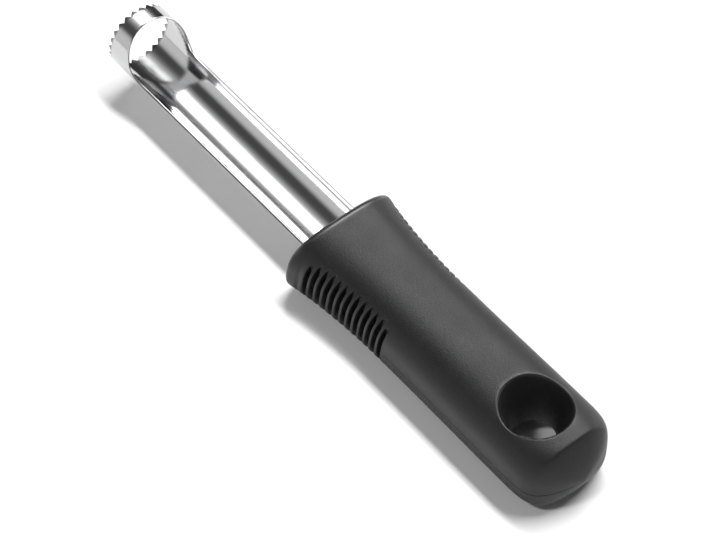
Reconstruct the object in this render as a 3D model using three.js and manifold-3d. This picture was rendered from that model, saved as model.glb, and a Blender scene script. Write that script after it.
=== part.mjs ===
// Apple corer: a serrated steel ring that runs on as an open trough, with its tang held in a
// rigid core inside a soft moulded handle. Millimetres, +X towards the teeth, +Z up.
import * as THREE from 'three';
import { mergeVertices } from 'three/addons/utils/BufferGeometryUtils.js';
import Module from 'manifold-3d';

// Corer tube
const SHAFT_LENGTH = 94.2;        // handle front to tooth tips
const TUBE_RADIUS = 10.75;        // outside of the ring and of the trough
const SHEET = 0.8;                // steel thickness
const TUBE_AXIS_RISE = 5.8;       // tube axis above the middle plane of the handle
const TOOTH_COUNT = 25;
const TOOTH_DEPTH = 1.4;
const TOOTH_BEVEL = 0.35;         // how much the ground outside takes off at the tips
const RING_TOP_LENGTH = 6.3;      // tips to the rear edge, along the top of the ring
const RING_SIDE_LENGTH = 10.6;    // tips to the rear edge, at the height of the tube axis
const RIM_DROP = 3.9;             // trough rim below the tube axis
const RIM_FILLET = 5.5;           // where the rim sweeps up into the ring

// Tang, inside the handle
const TANG_SHOULDER = 10;         // handle front to the step where the tang narrows
const TANG_HALF_ANGLE = 44;       // degrees either side of the bottom of the tube
const TANG_HOLE_COUNT = 2;
const TANG_HOLE_RADIUS = 2.6;
const TANG_HOLE_PITCH = 20;
const TANG_HOLE_FROM_END = 12;
const TANG_END_COVER = 13;        // core left behind the end of the tang

// Soft grip
const HANDLE_LENGTH = 108.2;
const FLARE_HALF_WIDTH = 19.1;
const WAIST_HALF_WIDTH = 15.2;
const BUTT_HALF_WIDTH = 15.5;
const FLARE_LENGTH = 47;
const FLARE_POWER = 2.5;          // how quickly the flare dies away
const FLARE_TOP = 13.5;           // top of the handle above its middle plane, at the front
const HALF_THICKNESS = 12.6;
const SECTION_POWER = 3;          // superellipse exponent of the cross-section
const FRONT_LEAN = 0.17;          // setback of the front face for each unit of height
const LEAN_FADE = 24;             // length behind the flare in which the lean dies away
const FRONT_ROUND = 1.8;          // rounding of the front edge
const BUTT_ROUND_LENGTH = 16.8;   // where the sides start to close in
const BUTT_SIDE_POWER = 4;
const BUTT_SIDE_CLOSE = 0.72;
const BUTT_CREASE = 5.35;         // end of the handle to the crease across its top
const BUTT_END_CLOSE = 0.68;
const BUTT_LIFT = 0.2;            // rise of the belly at the end, as a share of its depth
const BUTT_LIFT_POWER = 1.5;
const BELLY_FLAT = 0.3;           // depth of the flat that the handle lies on
const GRIP_WALL = 4.2;
const FRONT_WALL = 3;

// Finger slots in both sides of the grip
const SLOT_COUNT = 13;
const SLOT_PITCH = 2.54;
const SLOT_WIDTH = 1.55;
const SLOT_FROM_FRONT = 7.55;     // handle front to the middle of the first slot
const SLOT_DEPTH = 3;             // at the middle plane, and less towards both ends
const SLOT_END_INSET = 2.5;       // top of the handle down to the middle slots' upper ends
const OUTER_SLOT_INSET = 4.0;     // the same for the first and the last slot, with an arch between

// Hang hole
const HOLE_FROM_BUTT = 21.0;
const HOLE_RIM_RADIUS = 10.8;      // at the top face
const HOLE_FOOT_RADIUS = 13.0;     // at the belly
const HOLE_WAIST_RADIUS = 6.4;
const HOLE_WAIST_HEIGHT = -3.6;    // waist above the middle plane of the handle
const HOLE_FLARE_POWER = 1.5;      // above the waist
const HOLE_FOOT_POWER = 0.85;      // below it, a dish

// Rigid core
const CORE_TO_HOLE = 5;           // wall between the core and the hang hole's rim
const FIT_GAP = 0.3;              // between neighbouring pieces

// Mesh fineness
const SIDES_PER_TOOTH = 4;
const SECTION_POINTS = 48;
const CORE_POINTS = 28;
const BODY_STATIONS = 12;
const ROUND_STEPS = 3;
const BUTT_STEPS = 6;
const CORE_STATIONS = 6;
const TIP_SHARE = 0.0005;         // the section left at the very end, as a share of the length
const ARC_STEPS = 8;
const SLOT_STEPS = 5;
const HOLE_SIDES = 36;
const PEG_SIDES = 16;
const PAST = 2;                   // how far a cutter reaches past what it cuts

const wasm = await Module();
wasm.setup();

// Turns a closed three.js geometry into a solid that can be joined and cut.
function solidFrom(geometry) {
  const bare = geometry.clone();
  bare.deleteAttribute('normal');
  bare.deleteAttribute('uv');
  const merged = mergeVertices(bare);
  const vertProperties = new Float32Array(merged.attributes.position.array);
  const triVerts = new Uint32Array(merged.index.array);
  return new wasm.Manifold(new wasm.Mesh({ numProp: 3, vertProperties, triVerts }));
}

// Turns a solid back into a named mesh.
function meshFrom(solid, name, material) {
  const { numProp, vertProperties, triVerts } = solid.getMesh();
  const geometry = new THREE.BufferGeometry();
  const positions = [];
  for (let i = 0; i < vertProperties.length; i += numProp) {
    positions.push(vertProperties[i], vertProperties[i + 1], vertProperties[i + 2]);
  }
  geometry.setAttribute('position', new THREE.Float32BufferAttribute(positions, 3));
  geometry.setIndex(Array.from(triVerts));
  geometry.computeVertexNormals();
  const mesh = new THREE.Mesh(geometry, material);
  mesh.name = name;
  return mesh;
}

// Extrudes an outline drawn in Y and Z from xStart to xEnd.
function prismAlongX(shape, xStart, xEnd, curveSegments = 2 * ARC_STEPS) {
  const geometry = new THREE.ExtrudeGeometry(shape, {
    depth: xEnd - xStart, bevelEnabled: false, curveSegments,
  });
  const turn = new THREE.Matrix4().makeBasis(
    new THREE.Vector3(0, 1, 0), new THREE.Vector3(0, 0, 1), new THREE.Vector3(1, 0, 0));
  return geometry.applyMatrix4(turn).translate(xStart, 0, 0);
}

// Extrudes an outline drawn in X and Z to both sides of the middle plane.
function prismAcrossY(shape, halfWidth) {
  const geometry = new THREE.ExtrudeGeometry(shape, {
    depth: 2 * halfWidth, bevelEnabled: false, curveSegments: ARC_STEPS,
  });
  const turn = new THREE.Matrix4().makeBasis(
    new THREE.Vector3(1, 0, 0), new THREE.Vector3(0, 0, 1), new THREE.Vector3(0, -1, 0));
  return geometry.applyMatrix4(turn).translate(0, halfWidth, 0);
}

// Skins a row of closed rings, each a list of Vector3, and closes both ends with a fan.
function skinRings(rings) {
  const count = rings[0].length;
  const positions = rings.flat().flatMap((point) => point.toArray());
  const indices = [];
  for (let r = 0; r + 1 < rings.length; r += 1) {
    for (let j = 0; j < count; j += 1) {
      const next = (j + 1) % count;
      const [a, b] = [r * count + j, r * count + next];
      const [c, d] = [a + count, b + count];
      indices.push(a, c, b, b, c, d);
    }
  }
  for (const [first, flip] of [[0, false], [(rings.length - 1) * count, true]]) {
    const ring = rings[first / count];
    const middle = ring.reduce((sum, point) => sum.add(point), new THREE.Vector3()).divideScalar(count);
    const hub = positions.length / 3;
    positions.push(...middle.toArray());
    for (let j = 0; j < count; j += 1) {
      const edge = [first + j, first + (j + 1) % count];
      indices.push(hub, ...(flip ? edge.reverse() : edge));
    }
  }
  const geometry = new THREE.BufferGeometry();
  geometry.setAttribute('position', new THREE.Float32BufferAttribute(positions, 3));
  geometry.setIndex(indices);
  return geometry;
}

// Corer tube

// The lengthwise step by which the rear edge of the ring falls back, down to the tube axis.
const ringSlant = (RING_SIDE_LENGTH - RING_TOP_LENGTH) / TUBE_RADIUS;

// A slice of a ring round the tube axis, its angles counted from the bottom of the tube.
function sectorShape(inner, outer, from, to) {
  const down = -Math.PI / 2;
  const shape = new THREE.Shape();
  shape.absarc(0, TUBE_AXIS_RISE, outer, down + from, down + to, false);
  shape.absarc(0, TUBE_AXIS_RISE, inner, down + to, down + from, true);
  shape.closePath();
  return shape;
}

// The arc of steel below the tube axis, grown by a gap on every side.
function troughShape(halfAngle, gap) {
  const half = halfAngle + 2 * gap / TUBE_RADIUS;
  return sectorShape(TUBE_RADIUS - SHEET - gap, TUBE_RADIUS + gap, -half, half);
}

const tangLength = HANDLE_LENGTH - HOLE_FROM_BUTT - HOLE_RIM_RADIUS - CORE_TO_HOLE - TANG_END_COVER;
const rimHalfAngle = Math.acos(RIM_DROP / TUBE_RADIUS);
const tangHalfAngle = THREE.MathUtils.degToRad(TANG_HALF_ANGLE);

// Side view of what is cut away above the rim, from the ring's sloping rear edge to past the tang.
function openingShape() {
  const rimHeight = TUBE_AXIS_RISE - RIM_DROP;
  const top = TUBE_AXIS_RISE + TUBE_RADIUS + PAST;
  const rearEdgeAt = (z) => SHAFT_LENGTH - RING_SIDE_LENGTH + ringSlant * (z - TUBE_AXIS_RISE);
  const corner = new THREE.Vector2(rearEdgeAt(rimHeight), rimHeight);
  const upEdge = new THREE.Vector2(ringSlant, 1).normalize();
  const shape = new THREE.Shape();
  shape.moveTo(-tangLength - PAST, rimHeight);
  shape.lineTo(corner.x - RIM_FILLET, rimHeight);
  const fillet = upEdge.multiplyScalar(RIM_FILLET).add(corner);
  shape.quadraticCurveTo(corner.x, corner.y, fillet.x, fillet.y);
  shape.lineTo(rearEdgeAt(top), top);
  shape.lineTo(-tangLength - PAST, top);
  shape.closePath();
  return shape;
}

// One V notch between two teeth, pointing up the tube at the given angle round it.
function toothNotch(angle) {
  const halfPitch = TUBE_RADIUS * Math.tan(Math.PI / TOOTH_COUNT);
  const reach = 1 + PAST / TOOTH_DEPTH;
  const shape = new THREE.Shape();
  shape.moveTo(SHAFT_LENGTH - TOOTH_DEPTH, 0);
  shape.lineTo(SHAFT_LENGTH - TOOTH_DEPTH + TOOTH_DEPTH * reach, -halfPitch * reach);
  shape.lineTo(SHAFT_LENGTH - TOOTH_DEPTH + TOOTH_DEPTH * reach, halfPitch * reach);
  shape.closePath();
  const depth = SHEET + 2 * PAST;
  const geometry = new THREE.ExtrudeGeometry(shape, { depth, bevelEnabled: false });
  geometry.translate(0, 0, TUBE_RADIUS + PAST - depth);
  return geometry.rotateX(angle).translate(0, 0, TUBE_AXIS_RISE);
}

// Round pegs or holes through the bottom of the tang, one for each fixing point.
function tangPosts(radius, low, high) {
  return Array.from({ length: TANG_HOLE_COUNT }, (_, i) => {
    const x = -tangLength + TANG_HOLE_FROM_END + i * TANG_HOLE_PITCH;
    const post = new THREE.CylinderGeometry(radius, radius, high - low, PEG_SIDES);
    return solidFrom(post.rotateX(Math.PI / 2).translate(x, 0, (low + high) / 2));
  });
}

function buildCorerTube() {
  const inner = TUBE_RADIUS - SHEET;
  const profile = [
    new THREE.Vector2(inner, -tangLength),
    new THREE.Vector2(TUBE_RADIUS, -tangLength),
    new THREE.Vector2(TUBE_RADIUS, SHAFT_LENGTH - TOOTH_DEPTH),
    new THREE.Vector2(TUBE_RADIUS - TOOTH_BEVEL, SHAFT_LENGTH),
    new THREE.Vector2(inner, SHAFT_LENGTH),
    new THREE.Vector2(inner, -tangLength),
  ];
  const lathe = new THREE.LatheGeometry(profile, SIDES_PER_TOOTH * TOOTH_COUNT).rotateZ(-Math.PI / 2);
  let tube = solidFrom(lathe.translate(0, 0, TUBE_AXIS_RISE));
  for (let i = 0; i < TOOTH_COUNT; i += 1) {
    tube = tube.subtract(solidFrom(toothNotch(i * 2 * Math.PI / TOOTH_COUNT)));
  }
  tube = tube.subtract(solidFrom(prismAcrossY(openingShape(), TUBE_RADIUS + PAST)));

  for (const side of [-1, 1]) {
    const edges = [side * tangHalfAngle, side * Math.PI / 2].sort((from, to) => from - to);
    const wing = sectorShape(TUBE_RADIUS - SHEET - PAST, TUBE_RADIUS + PAST, ...edges);
    tube = tube.subtract(solidFrom(prismAlongX(wing, -tangLength - PAST, -TANG_SHOULDER)));
  }
  const bottom = TUBE_AXIS_RISE - TUBE_RADIUS;
  for (const hole of tangPosts(TANG_HOLE_RADIUS, bottom - PAST, bottom + PAST)) {
    tube = tube.subtract(hole);
  }
  return tube;
}

// Soft grip

// Half-sizes of the handle's section at a distance behind its front.
function sectionAt(distance) {
  const flare = Math.max(0, 1 - distance / FLARE_LENGTH) ** FLARE_POWER;
  const tail = THREE.MathUtils.smoothstep(distance, FLARE_LENGTH, HANDLE_LENGTH - BUTT_ROUND_LENGTH);
  const roundIn = Math.max(0, (distance - HANDLE_LENGTH) / BUTT_ROUND_LENGTH + 1);
  const endIn = Math.max(0, (distance - HANDLE_LENGTH) / BUTT_CREASE + 1);
  const sideClose = Math.max(0, 1 - roundIn ** BUTT_SIDE_POWER) ** BUTT_SIDE_CLOSE;
  const endClose = Math.max(0, 1 - endIn) ** BUTT_END_CLOSE;
  const straight = WAIST_HALF_WIDTH + flare * (FLARE_HALF_WIDTH - WAIST_HALF_WIDTH)
    + tail * (BUTT_HALF_WIDTH - WAIST_HALF_WIDTH);
  return {
    halfWidth: straight * sideClose,
    top: (HALF_THICKNESS + flare * (FLARE_TOP - HALF_THICKNESS)) * endClose,
    bottom: HALF_THICKNESS * endClose * (1 - BUTT_LIFT * roundIn ** BUTT_LIFT_POWER),
  };
}

// How much of the front's lean is left at a distance behind the front.
function leanAt(distance) {
  return FRONT_LEAN * (1 - THREE.MathUtils.smoothstep(distance, FLARE_LENGTH, FLARE_LENGTH + LEAN_FADE));
}

// A ring of points round the handle, drawn in from its surface by an inset.
function sectionRing(distance, setback, inset, count) {
  const { halfWidth, top, bottom } = sectionAt(distance);
  const lean = leanAt(distance);
  const ring = [];
  for (let j = 0; j < count; j += 1) {
    const turn = 2 * Math.PI * j / count;
    const [c, s] = [Math.cos(turn), Math.sin(turn)];
    const across = Math.sign(c) * Math.abs(c) ** (2 / SECTION_POWER);
    const up = Math.sign(s) * Math.abs(s) ** (2 / SECTION_POWER);
    const y = across * Math.max(halfWidth - inset, 0);
    const z = up * Math.max((s > 0 ? top : bottom) - inset, 0);
    ring.push(new THREE.Vector3(-setback - lean * z, y, z));
  }
  return ring;
}

// The outside of the handle, from its rounded front edge to the end past the crease.
function gripOutside() {
  const rings = [];
  const addRing = (distance, setback, inset) => {
    rings.push(sectionRing(distance, setback, inset, SECTION_POINTS));
  };
  for (let i = 0; i < ROUND_STEPS; i += 1) {
    const turn = Math.PI / 2 * (1 - i / ROUND_STEPS);
    const setback = FRONT_ROUND * (1 - Math.sin(turn));
    addRing(setback, setback, FRONT_ROUND * (1 - Math.cos(turn)));
  }
  const roundStart = HANDLE_LENGTH - BUTT_ROUND_LENGTH;
  for (let i = 0; i < BODY_STATIONS; i += 1) {
    const distance = THREE.MathUtils.lerp(FRONT_ROUND, roundStart, i / BODY_STATIONS);
    addRing(distance, distance, 0);
  }
  const creaseStart = HANDLE_LENGTH - BUTT_CREASE;
  for (let i = 0; i < BUTT_STEPS; i += 1) {
    const distance = THREE.MathUtils.lerp(roundStart, creaseStart, i / BUTT_STEPS);
    addRing(distance, distance, 0);
  }
  for (let i = 0; i < BUTT_STEPS; i += 1) {
    const distance = creaseStart + BUTT_CREASE * Math.sin(Math.PI / 2 * i / BUTT_STEPS);
    addRing(distance, distance, 0);
  }
  addRing(HANDLE_LENGTH * (1 - TIP_SHARE), HANDLE_LENGTH, 0);
  return solidFrom(skinRings(rings));
}

// The block that the core fills, grown by a gap on every side.
function coreBlock(gap) {
  const start = FRONT_WALL + FIT_GAP - gap;
  const end = tangLength + TANG_END_COVER + gap;
  const rings = [];
  for (let i = 0; i <= CORE_STATIONS; i += 1) {
    const distance = THREE.MathUtils.lerp(start, end, i / CORE_STATIONS);
    rings.push(sectionRing(distance, distance, GRIP_WALL + FIT_GAP - gap, CORE_POINTS));
  }
  return solidFrom(skinRings(rings));
}

// One slot: a thin lens between the side of the handle and a floor that dips in the middle.
function fingerSlot(index, side) {
  const distance = SLOT_FROM_FRONT + index * SLOT_PITCH;
  const { halfWidth, bottom } = sectionAt(distance);
  const fromOuter = Math.min(index, SLOT_COUNT - 1 - index);
  const archDrop = (OUTER_SLOT_INSET - SLOT_END_INSET) / (fromOuter + 1) ** 2;
  const endHeight = bottom - SLOT_END_INSET - archDrop;
  const chord = halfWidth * (1 - (endHeight / bottom) ** SECTION_POWER) ** (1 / SECTION_POWER);
  const outside = halfWidth + PAST;
  const floorPull = 2 * (halfWidth - SLOT_DEPTH) - chord;
  const shape = new THREE.Shape();
  shape.moveTo(side * outside, endHeight);
  shape.lineTo(side * chord, endHeight);
  shape.quadraticCurveTo(side * floorPull, 0, side * chord, -endHeight);
  shape.lineTo(side * outside, -endHeight);
  shape.closePath();
  const slab = prismAlongX(shape, -distance - SLOT_WIDTH / 2, -distance + SLOT_WIDTH / 2, SLOT_STEPS);
  return slab.applyMatrix4(new THREE.Matrix4().makeShear(0, 0, 0, 0, -leanAt(distance), 0));
}

// The hang hole: an hourglass, wide at both faces and narrow at its waist.
function hangHole() {
  const end = HALF_THICKNESS + PAST;
  const profile = [new THREE.Vector2(0, -end)];
  for (let i = -ARC_STEPS; i <= ARC_STEPS; i += 1) {
    const side = Math.sign(i);
    const z = THREE.MathUtils.lerp(HOLE_WAIST_HEIGHT, side * end, Math.abs(i) / ARC_STEPS);
    const waistToFace = HALF_THICKNESS - side * HOLE_WAIST_HEIGHT;
    const faceRadius = side > 0 ? HOLE_RIM_RADIUS : HOLE_FOOT_RADIUS;
    const power = side > 0 ? HOLE_FLARE_POWER : HOLE_FOOT_POWER;
    const open = (Math.abs(z - HOLE_WAIST_HEIGHT) / waistToFace) ** power;
    profile.push(new THREE.Vector2(THREE.MathUtils.lerp(HOLE_WAIST_RADIUS, faceRadius, open), z));
  }
  profile.push(new THREE.Vector2(0, end));
  const lathe = new THREE.LatheGeometry(profile, HOLE_SIDES).rotateX(Math.PI / 2);
  return solidFrom(lathe.translate(-HANDLE_LENGTH + HOLE_FROM_BUTT, 0, 0));
}

const restDepth = HALF_THICKNESS - BELLY_FLAT;

function buildSoftGrip() {
  const mouth = prismAlongX(troughShape(rimHalfAngle, FIT_GAP), -FRONT_WALL - PAST, PAST);
  const floor = new THREE.BoxGeometry(2 * HANDLE_LENGTH + PAST, 2 * FLARE_HALF_WIDTH + PAST, PAST);
  floor.translate(-HANDLE_LENGTH, 0, -restDepth - PAST / 2);
  let grip = gripOutside().subtract(coreBlock(FIT_GAP));
  grip = grip.subtract(solidFrom(mouth)).subtract(solidFrom(floor)).subtract(hangHole());
  for (let i = 0; i < SLOT_COUNT; i += 1) {
    grip = grip.subtract(solidFrom(fingerSlot(i, -1))).subtract(solidFrom(fingerSlot(i, 1)));
  }
  return grip;
}

// Rigid core, moulded round the tang, with a peg through each hole of the tang

function buildHandleCore() {
  const wide = prismAlongX(troughShape(rimHalfAngle, FIT_GAP), -TANG_SHOULDER - FIT_GAP, PAST);
  const narrow = prismAlongX(troughShape(tangHalfAngle, FIT_GAP), -tangLength - FIT_GAP, -TANG_SHOULDER);
  let socket = solidFrom(wide).add(solidFrom(narrow));
  const bottom = TUBE_AXIS_RISE - TUBE_RADIUS;
  for (const peg of tangPosts(TANG_HOLE_RADIUS - FIT_GAP, bottom - PAST, bottom + PAST)) {
    socket = socket.subtract(peg);
  }
  return coreBlock(0).subtract(socket);
}

const steel = new THREE.MeshStandardMaterial({ color: 0xc8cacc, roughness: 0.22, metalness: 1 });
const softBlack = new THREE.MeshStandardMaterial({ color: 0x2a2a2c, roughness: 0.8, metalness: 0 });
const hardBlack = new THREE.MeshStandardMaterial({ color: 0x1c1c1e, roughness: 0.5, metalness: 0 });

const corer = new THREE.Group();
corer.name = 'apple_corer';
corer.add(meshFrom(buildCorerTube(), 'corer_tube', steel));
corer.add(meshFrom(buildHandleCore(), 'handle_core', hardBlack));
corer.add(meshFrom(buildSoftGrip(), 'soft_grip', softBlack));
corer.position.set((HANDLE_LENGTH - SHAFT_LENGTH) / 2, 0, restDepth);

export default corer;
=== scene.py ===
"""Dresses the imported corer: a polished steel blade in a soft black grip, lying on a white table."""

import logging
import math
from collections.abc import Callable, Sequence
from dataclasses import dataclass, field
from enum import Enum

import bmesh
import bpy
from mathutils import Matrix, Vector

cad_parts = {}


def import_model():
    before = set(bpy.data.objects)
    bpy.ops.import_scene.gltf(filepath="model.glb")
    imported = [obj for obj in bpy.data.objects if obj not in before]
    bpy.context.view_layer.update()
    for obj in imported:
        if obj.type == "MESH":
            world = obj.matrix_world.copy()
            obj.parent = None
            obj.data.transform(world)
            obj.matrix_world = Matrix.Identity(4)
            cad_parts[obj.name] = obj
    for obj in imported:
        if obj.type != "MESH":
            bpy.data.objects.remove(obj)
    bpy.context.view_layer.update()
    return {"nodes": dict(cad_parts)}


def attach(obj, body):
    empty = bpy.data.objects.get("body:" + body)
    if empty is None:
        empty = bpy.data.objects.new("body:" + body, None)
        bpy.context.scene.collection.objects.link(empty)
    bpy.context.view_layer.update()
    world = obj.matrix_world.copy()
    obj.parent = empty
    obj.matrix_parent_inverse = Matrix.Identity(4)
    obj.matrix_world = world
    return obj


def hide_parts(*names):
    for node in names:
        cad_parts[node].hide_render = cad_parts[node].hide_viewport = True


LOG = logging.getLogger("corer")
MM = 0.001
MERGE_DISTANCE = 1e-6
WHITE = (1.0, 1.0, 1.0, 1.0)
Point = tuple[float, float, float]
Colour = tuple[float, float, float, float]
Stops = tuple[tuple[float, float], ...]
Piece = bpy.types.Object
Socket = bpy.types.NodeSocket


class Slot(Enum):
    """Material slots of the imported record."""

    STEEL = "steel"
    CORE_PLASTIC = "core_plastic"
    GRIP_RUBBER = "grip_rubber"


class Node(Enum):
    """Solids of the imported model."""

    TUBE = "corer_tube"
    CORE = "handle_core"
    GRIP = "soft_grip"


class Side(Enum):
    """The two faces of the handle that the hang hole opens in."""

    TOP = 1
    BOTTOM = -1


def lerp(start: float, end: float, share: float) -> float:
    """Returns the value at a share of the way from start to end."""
    return start + (end - start) * share


def smooth_step(value: float, low: float, high: float) -> float:
    """Returns an eased 0 to 1 as a value goes from low to high."""
    share = min(1.0, max(0.0, (value - low) / (high - low)))
    return share * share * (3 - 2 * share)


def soft_floor(value: float, blend: float) -> float:
    """Returns a value held above 0, with the corner at 0 rounded over a blend."""
    return (value + math.sqrt(value * value + blend * blend)) / 2


def turn_is_upper(turn: float) -> bool:
    """Says whether a turn lies on the upper half of a section."""
    return math.sin(turn) > 0


@dataclass(frozen=True)
class HandleFrame:
    """Where the handle's front, on its middle plane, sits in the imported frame.

    Sizes of the pieces are in millimetres from here, with x towards the teeth and z up.
    """

    front_x: float = 7.0
    middle_z: float = 12.3

    def place(self, x: float, y: float, z: float) -> Point:
        """Returns a point of the handle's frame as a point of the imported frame, in metres."""
        return ((self.front_x + x) * MM, y * MM, (self.middle_z + z) * MM)

    def local(self, point: Vector) -> Point:
        """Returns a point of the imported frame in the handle's frame, in millimetres."""
        return (point.x / MM - self.front_x, point.y / MM, point.z / MM - self.middle_z)


class Bench:
    """Operator steps that every modelled piece shares."""

    @staticmethod
    def clear() -> None:
        """Goes to object mode with nothing selected."""
        if bpy.context.object and bpy.context.object.mode != "OBJECT":
            bpy.ops.object.mode_set(mode="OBJECT")
        bpy.ops.object.select_all(action="DESELECT")

    @staticmethod
    def take(piece: Piece) -> None:
        """Makes a piece the only selected object, and the active one."""
        Bench.clear()
        piece.select_set(True)
        bpy.context.view_layer.objects.active = piece

    @staticmethod
    def add_sheet(name: str, rows: int, columns: int) -> Piece:
        """Adds a flat grid of unit size to roll a piece from.

        Args:
            name: The new object's name.
            rows: Lines of vertices along x.
            columns: Lines of vertices along y.

        Returns:
            The grid's object.
        """
        Bench.clear()
        bpy.ops.mesh.primitive_grid_add(x_subdivisions=rows - 1, y_subdivisions=columns - 1, size=1.0)
        sheet = bpy.context.object
        sheet.name = sheet.data.name = name
        return sheet

    @staticmethod
    def pick_faces(piece: Piece, wanted: Callable[[bmesh.types.BMFace], bool]) -> int:
        """Opens a piece in edit mode with only the wanted faces selected.

        Args:
            piece: The object to open.
            wanted: Says whether a face is selected.

        Returns:
            How many faces are selected.
        """
        Bench.take(piece)
        bpy.ops.object.mode_set(mode="EDIT")
        bpy.ops.mesh.select_mode(type="FACE")
        bpy.ops.mesh.select_all(action="DESELECT")
        mesh = bmesh.from_edit_mesh(piece.data)
        mesh.normal_update()
        picked = [face for face in mesh.faces if wanted(face)]
        for face in picked:
            face.select_set(True)
        bmesh.update_edit_mesh(piece.data)
        return len(picked)

    @staticmethod
    def roll(
        sheet: Piece, rows: int, columns: int, place: Callable[[int, int], Point], closed: bool
    ) -> None:
        """Moves each vertex of a flat sheet to its place on the shape and merges what meets.

        Args:
            sheet: The flat grid.
            rows: Its lines of vertices along x.
            columns: Its lines of vertices along y.
            place: Gives the place of a row and column.
            closed: Whether the shape is closed, so that its faces can be turned outwards.
        """
        for vertex in sheet.data.vertices:
            row = round((vertex.co.x + 0.5) * (rows - 1))
            column = round((vertex.co.y + 0.5) * (columns - 1))
            vertex.co = place(row, column)
        Bench.weld(sheet, outward=closed)

    @staticmethod
    def weld(piece: Piece, outward: bool = False) -> None:
        """Merges the vertices that lie in one place and drops faces without area.

        Args:
            piece: The object to weld.
            outward: Whether its faces are then turned outwards.
        """
        Bench.take(piece)
        bpy.ops.object.mode_set(mode="EDIT")
        bpy.ops.mesh.select_all(action="SELECT")
        bpy.ops.mesh.remove_doubles(threshold=MERGE_DISTANCE)
        bpy.ops.mesh.dissolve_degenerate(threshold=MERGE_DISTANCE)
        if outward:
            bpy.ops.mesh.select_all(action="SELECT")
            bpy.ops.mesh.normals_make_consistent(inside=False)
        Bench.clear()

    @staticmethod
    def modify(piece: Piece, kind: str, **settings: object) -> None:
        """Adds a modifier to a piece, sets it and applies it.

        Args:
            piece: The object to change.
            kind: The modifier's type.
            **settings: Values of the modifier's own properties.
        """
        Bench.take(piece)
        bpy.ops.object.modifier_add(type=kind)
        modifier = piece.modifiers[-1]
        for name, value in settings.items():
            setattr(modifier, name, value)
        bpy.ops.object.modifier_apply(modifier=modifier.name)

    @staticmethod
    def cut(piece: Piece, cutter: Piece) -> None:
        """Takes a cutter's volume out of a piece, removes the cutter and welds what the cut left."""
        Bench.modify(piece, "BOOLEAN", operation="DIFFERENCE", solver="EXACT", object=cutter)
        bpy.data.objects.remove(cutter, do_unlink=True)
        Bench.weld(piece)

    @staticmethod
    def smooth(piece: Piece, degrees: float) -> None:
        """Shades a piece smooth across every edge flatter than an angle."""
        Bench.take(piece)
        bpy.ops.object.shade_smooth_by_angle(angle=math.radians(degrees))


class NodeDesk:
    """Adds and joins the nodes of one material, node group or world."""

    def __init__(self, tree: bpy.types.NodeTree) -> None:
        """Starts on an empty tree."""
        self.tree = tree
        tree.nodes.clear()

    def add(self, kind: str, **inputs: object) -> bpy.types.Node:
        """Adds a node and sets its inputs, a name's spaces written as underscores.

        Args:
            kind: The node's type, without the prefix that all shader nodes share.
            **inputs: A value for a socket, or a socket of another node to join to it.

        Returns:
            The new node.
        """
        node = self.tree.nodes.new("ShaderNode" + kind)
        for name, value in inputs.items():
            self.feed(node.inputs[name.replace("_", " ")], value)
        return node

    def feed(self, socket: Socket, value: object) -> None:
        """Sets a socket to a plain value, or joins another node's socket to it."""
        if isinstance(value, Socket):
            self.tree.links.new(value, socket)
        else:
            socket.default_value = value

    def math(self, operation: str, *values: object) -> Socket:
        """Adds a Math node on plain values or sockets, and returns its result."""
        node = self.add("Math")
        node.operation = operation
        return self.fill(node, *values)

    def fill(self, node: bpy.types.Node, *values: object) -> Socket:
        """Sets or joins a node's inputs in their order, and returns its first output."""
        for socket, value in zip(node.inputs, values):
            self.feed(socket, value)
        return node.outputs[0]

    def span(
        self, value: object, low: float, high: float, to_low: float = 0.0, to_high: float = 1.0
    ) -> Socket:
        """Adds a Map Range node that takes low..high to to_low..to_high, and returns its result."""
        node = self.add("MapRange", Value=value, From_Min=low, From_Max=high, To_Min=to_low, To_Max=to_high)
        return node.outputs["Result"]

    def blend(self, share: object, first: object, second: object) -> Socket:
        """Adds a colour mix from first to second by a share, and returns its result."""
        node = self.tree.nodes.new("ShaderNodeMix")
        node.data_type = "RGBA"
        self.feed(node.inputs["Factor"], share)
        self.feed(node.inputs[6], first)
        self.feed(node.inputs[7], second)
        return node.outputs[2]

    def noise(self, vector: object, scale: object, detail: float, roughness: float = 0.5) -> Socket:
        """Adds a Noise Texture and returns its value."""
        node = self.add("TexNoise", Vector=vector, Scale=scale, Detail=detail, Roughness=roughness)
        return node.outputs["Fac"]

    def effect(self, effect: "Effect", vector: Socket, scale: float) -> bpy.types.Node:
        """Places a shared effect at a scale, and returns its node."""
        node = self.add("Group")
        node.node_tree = effect.group()
        self.fill(node, vector, scale)
        return node


class Effect:
    """A surface effect that several finishes share, built once as a node group."""

    title: str = ""
    inputs: Sequence[tuple[str, str]] = (("Vector", "NodeSocketVector"), ("Scale", "NodeSocketFloat"))
    outputs: Sequence[str] = ()

    def group(self) -> bpy.types.NodeTree:
        """Returns the effect's node group, and builds it the first time."""
        made = bpy.data.node_groups.get(self.title)
        if made:
            return made
        tree = bpy.data.node_groups.new(self.title, "ShaderNodeTree")
        for name, kind in self.inputs:
            tree.interface.new_socket(name=name, in_out="INPUT", socket_type=kind)
        for name in self.outputs:
            tree.interface.new_socket(name=name, in_out="OUTPUT", socket_type="NodeSocketFloat")
        desk = NodeDesk(tree)
        entry = tree.nodes.new("NodeGroupInput")
        leave = tree.nodes.new("NodeGroupOutput")
        for name, socket in self.wire(desk, entry).items():
            desk.feed(leave.inputs[name], socket)
        return tree

    def wire(self, desk: NodeDesk, entry: bpy.types.Node) -> dict[str, Socket]:
        """Builds the effect's nodes and returns a socket for each output."""
        raise NotImplementedError


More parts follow.
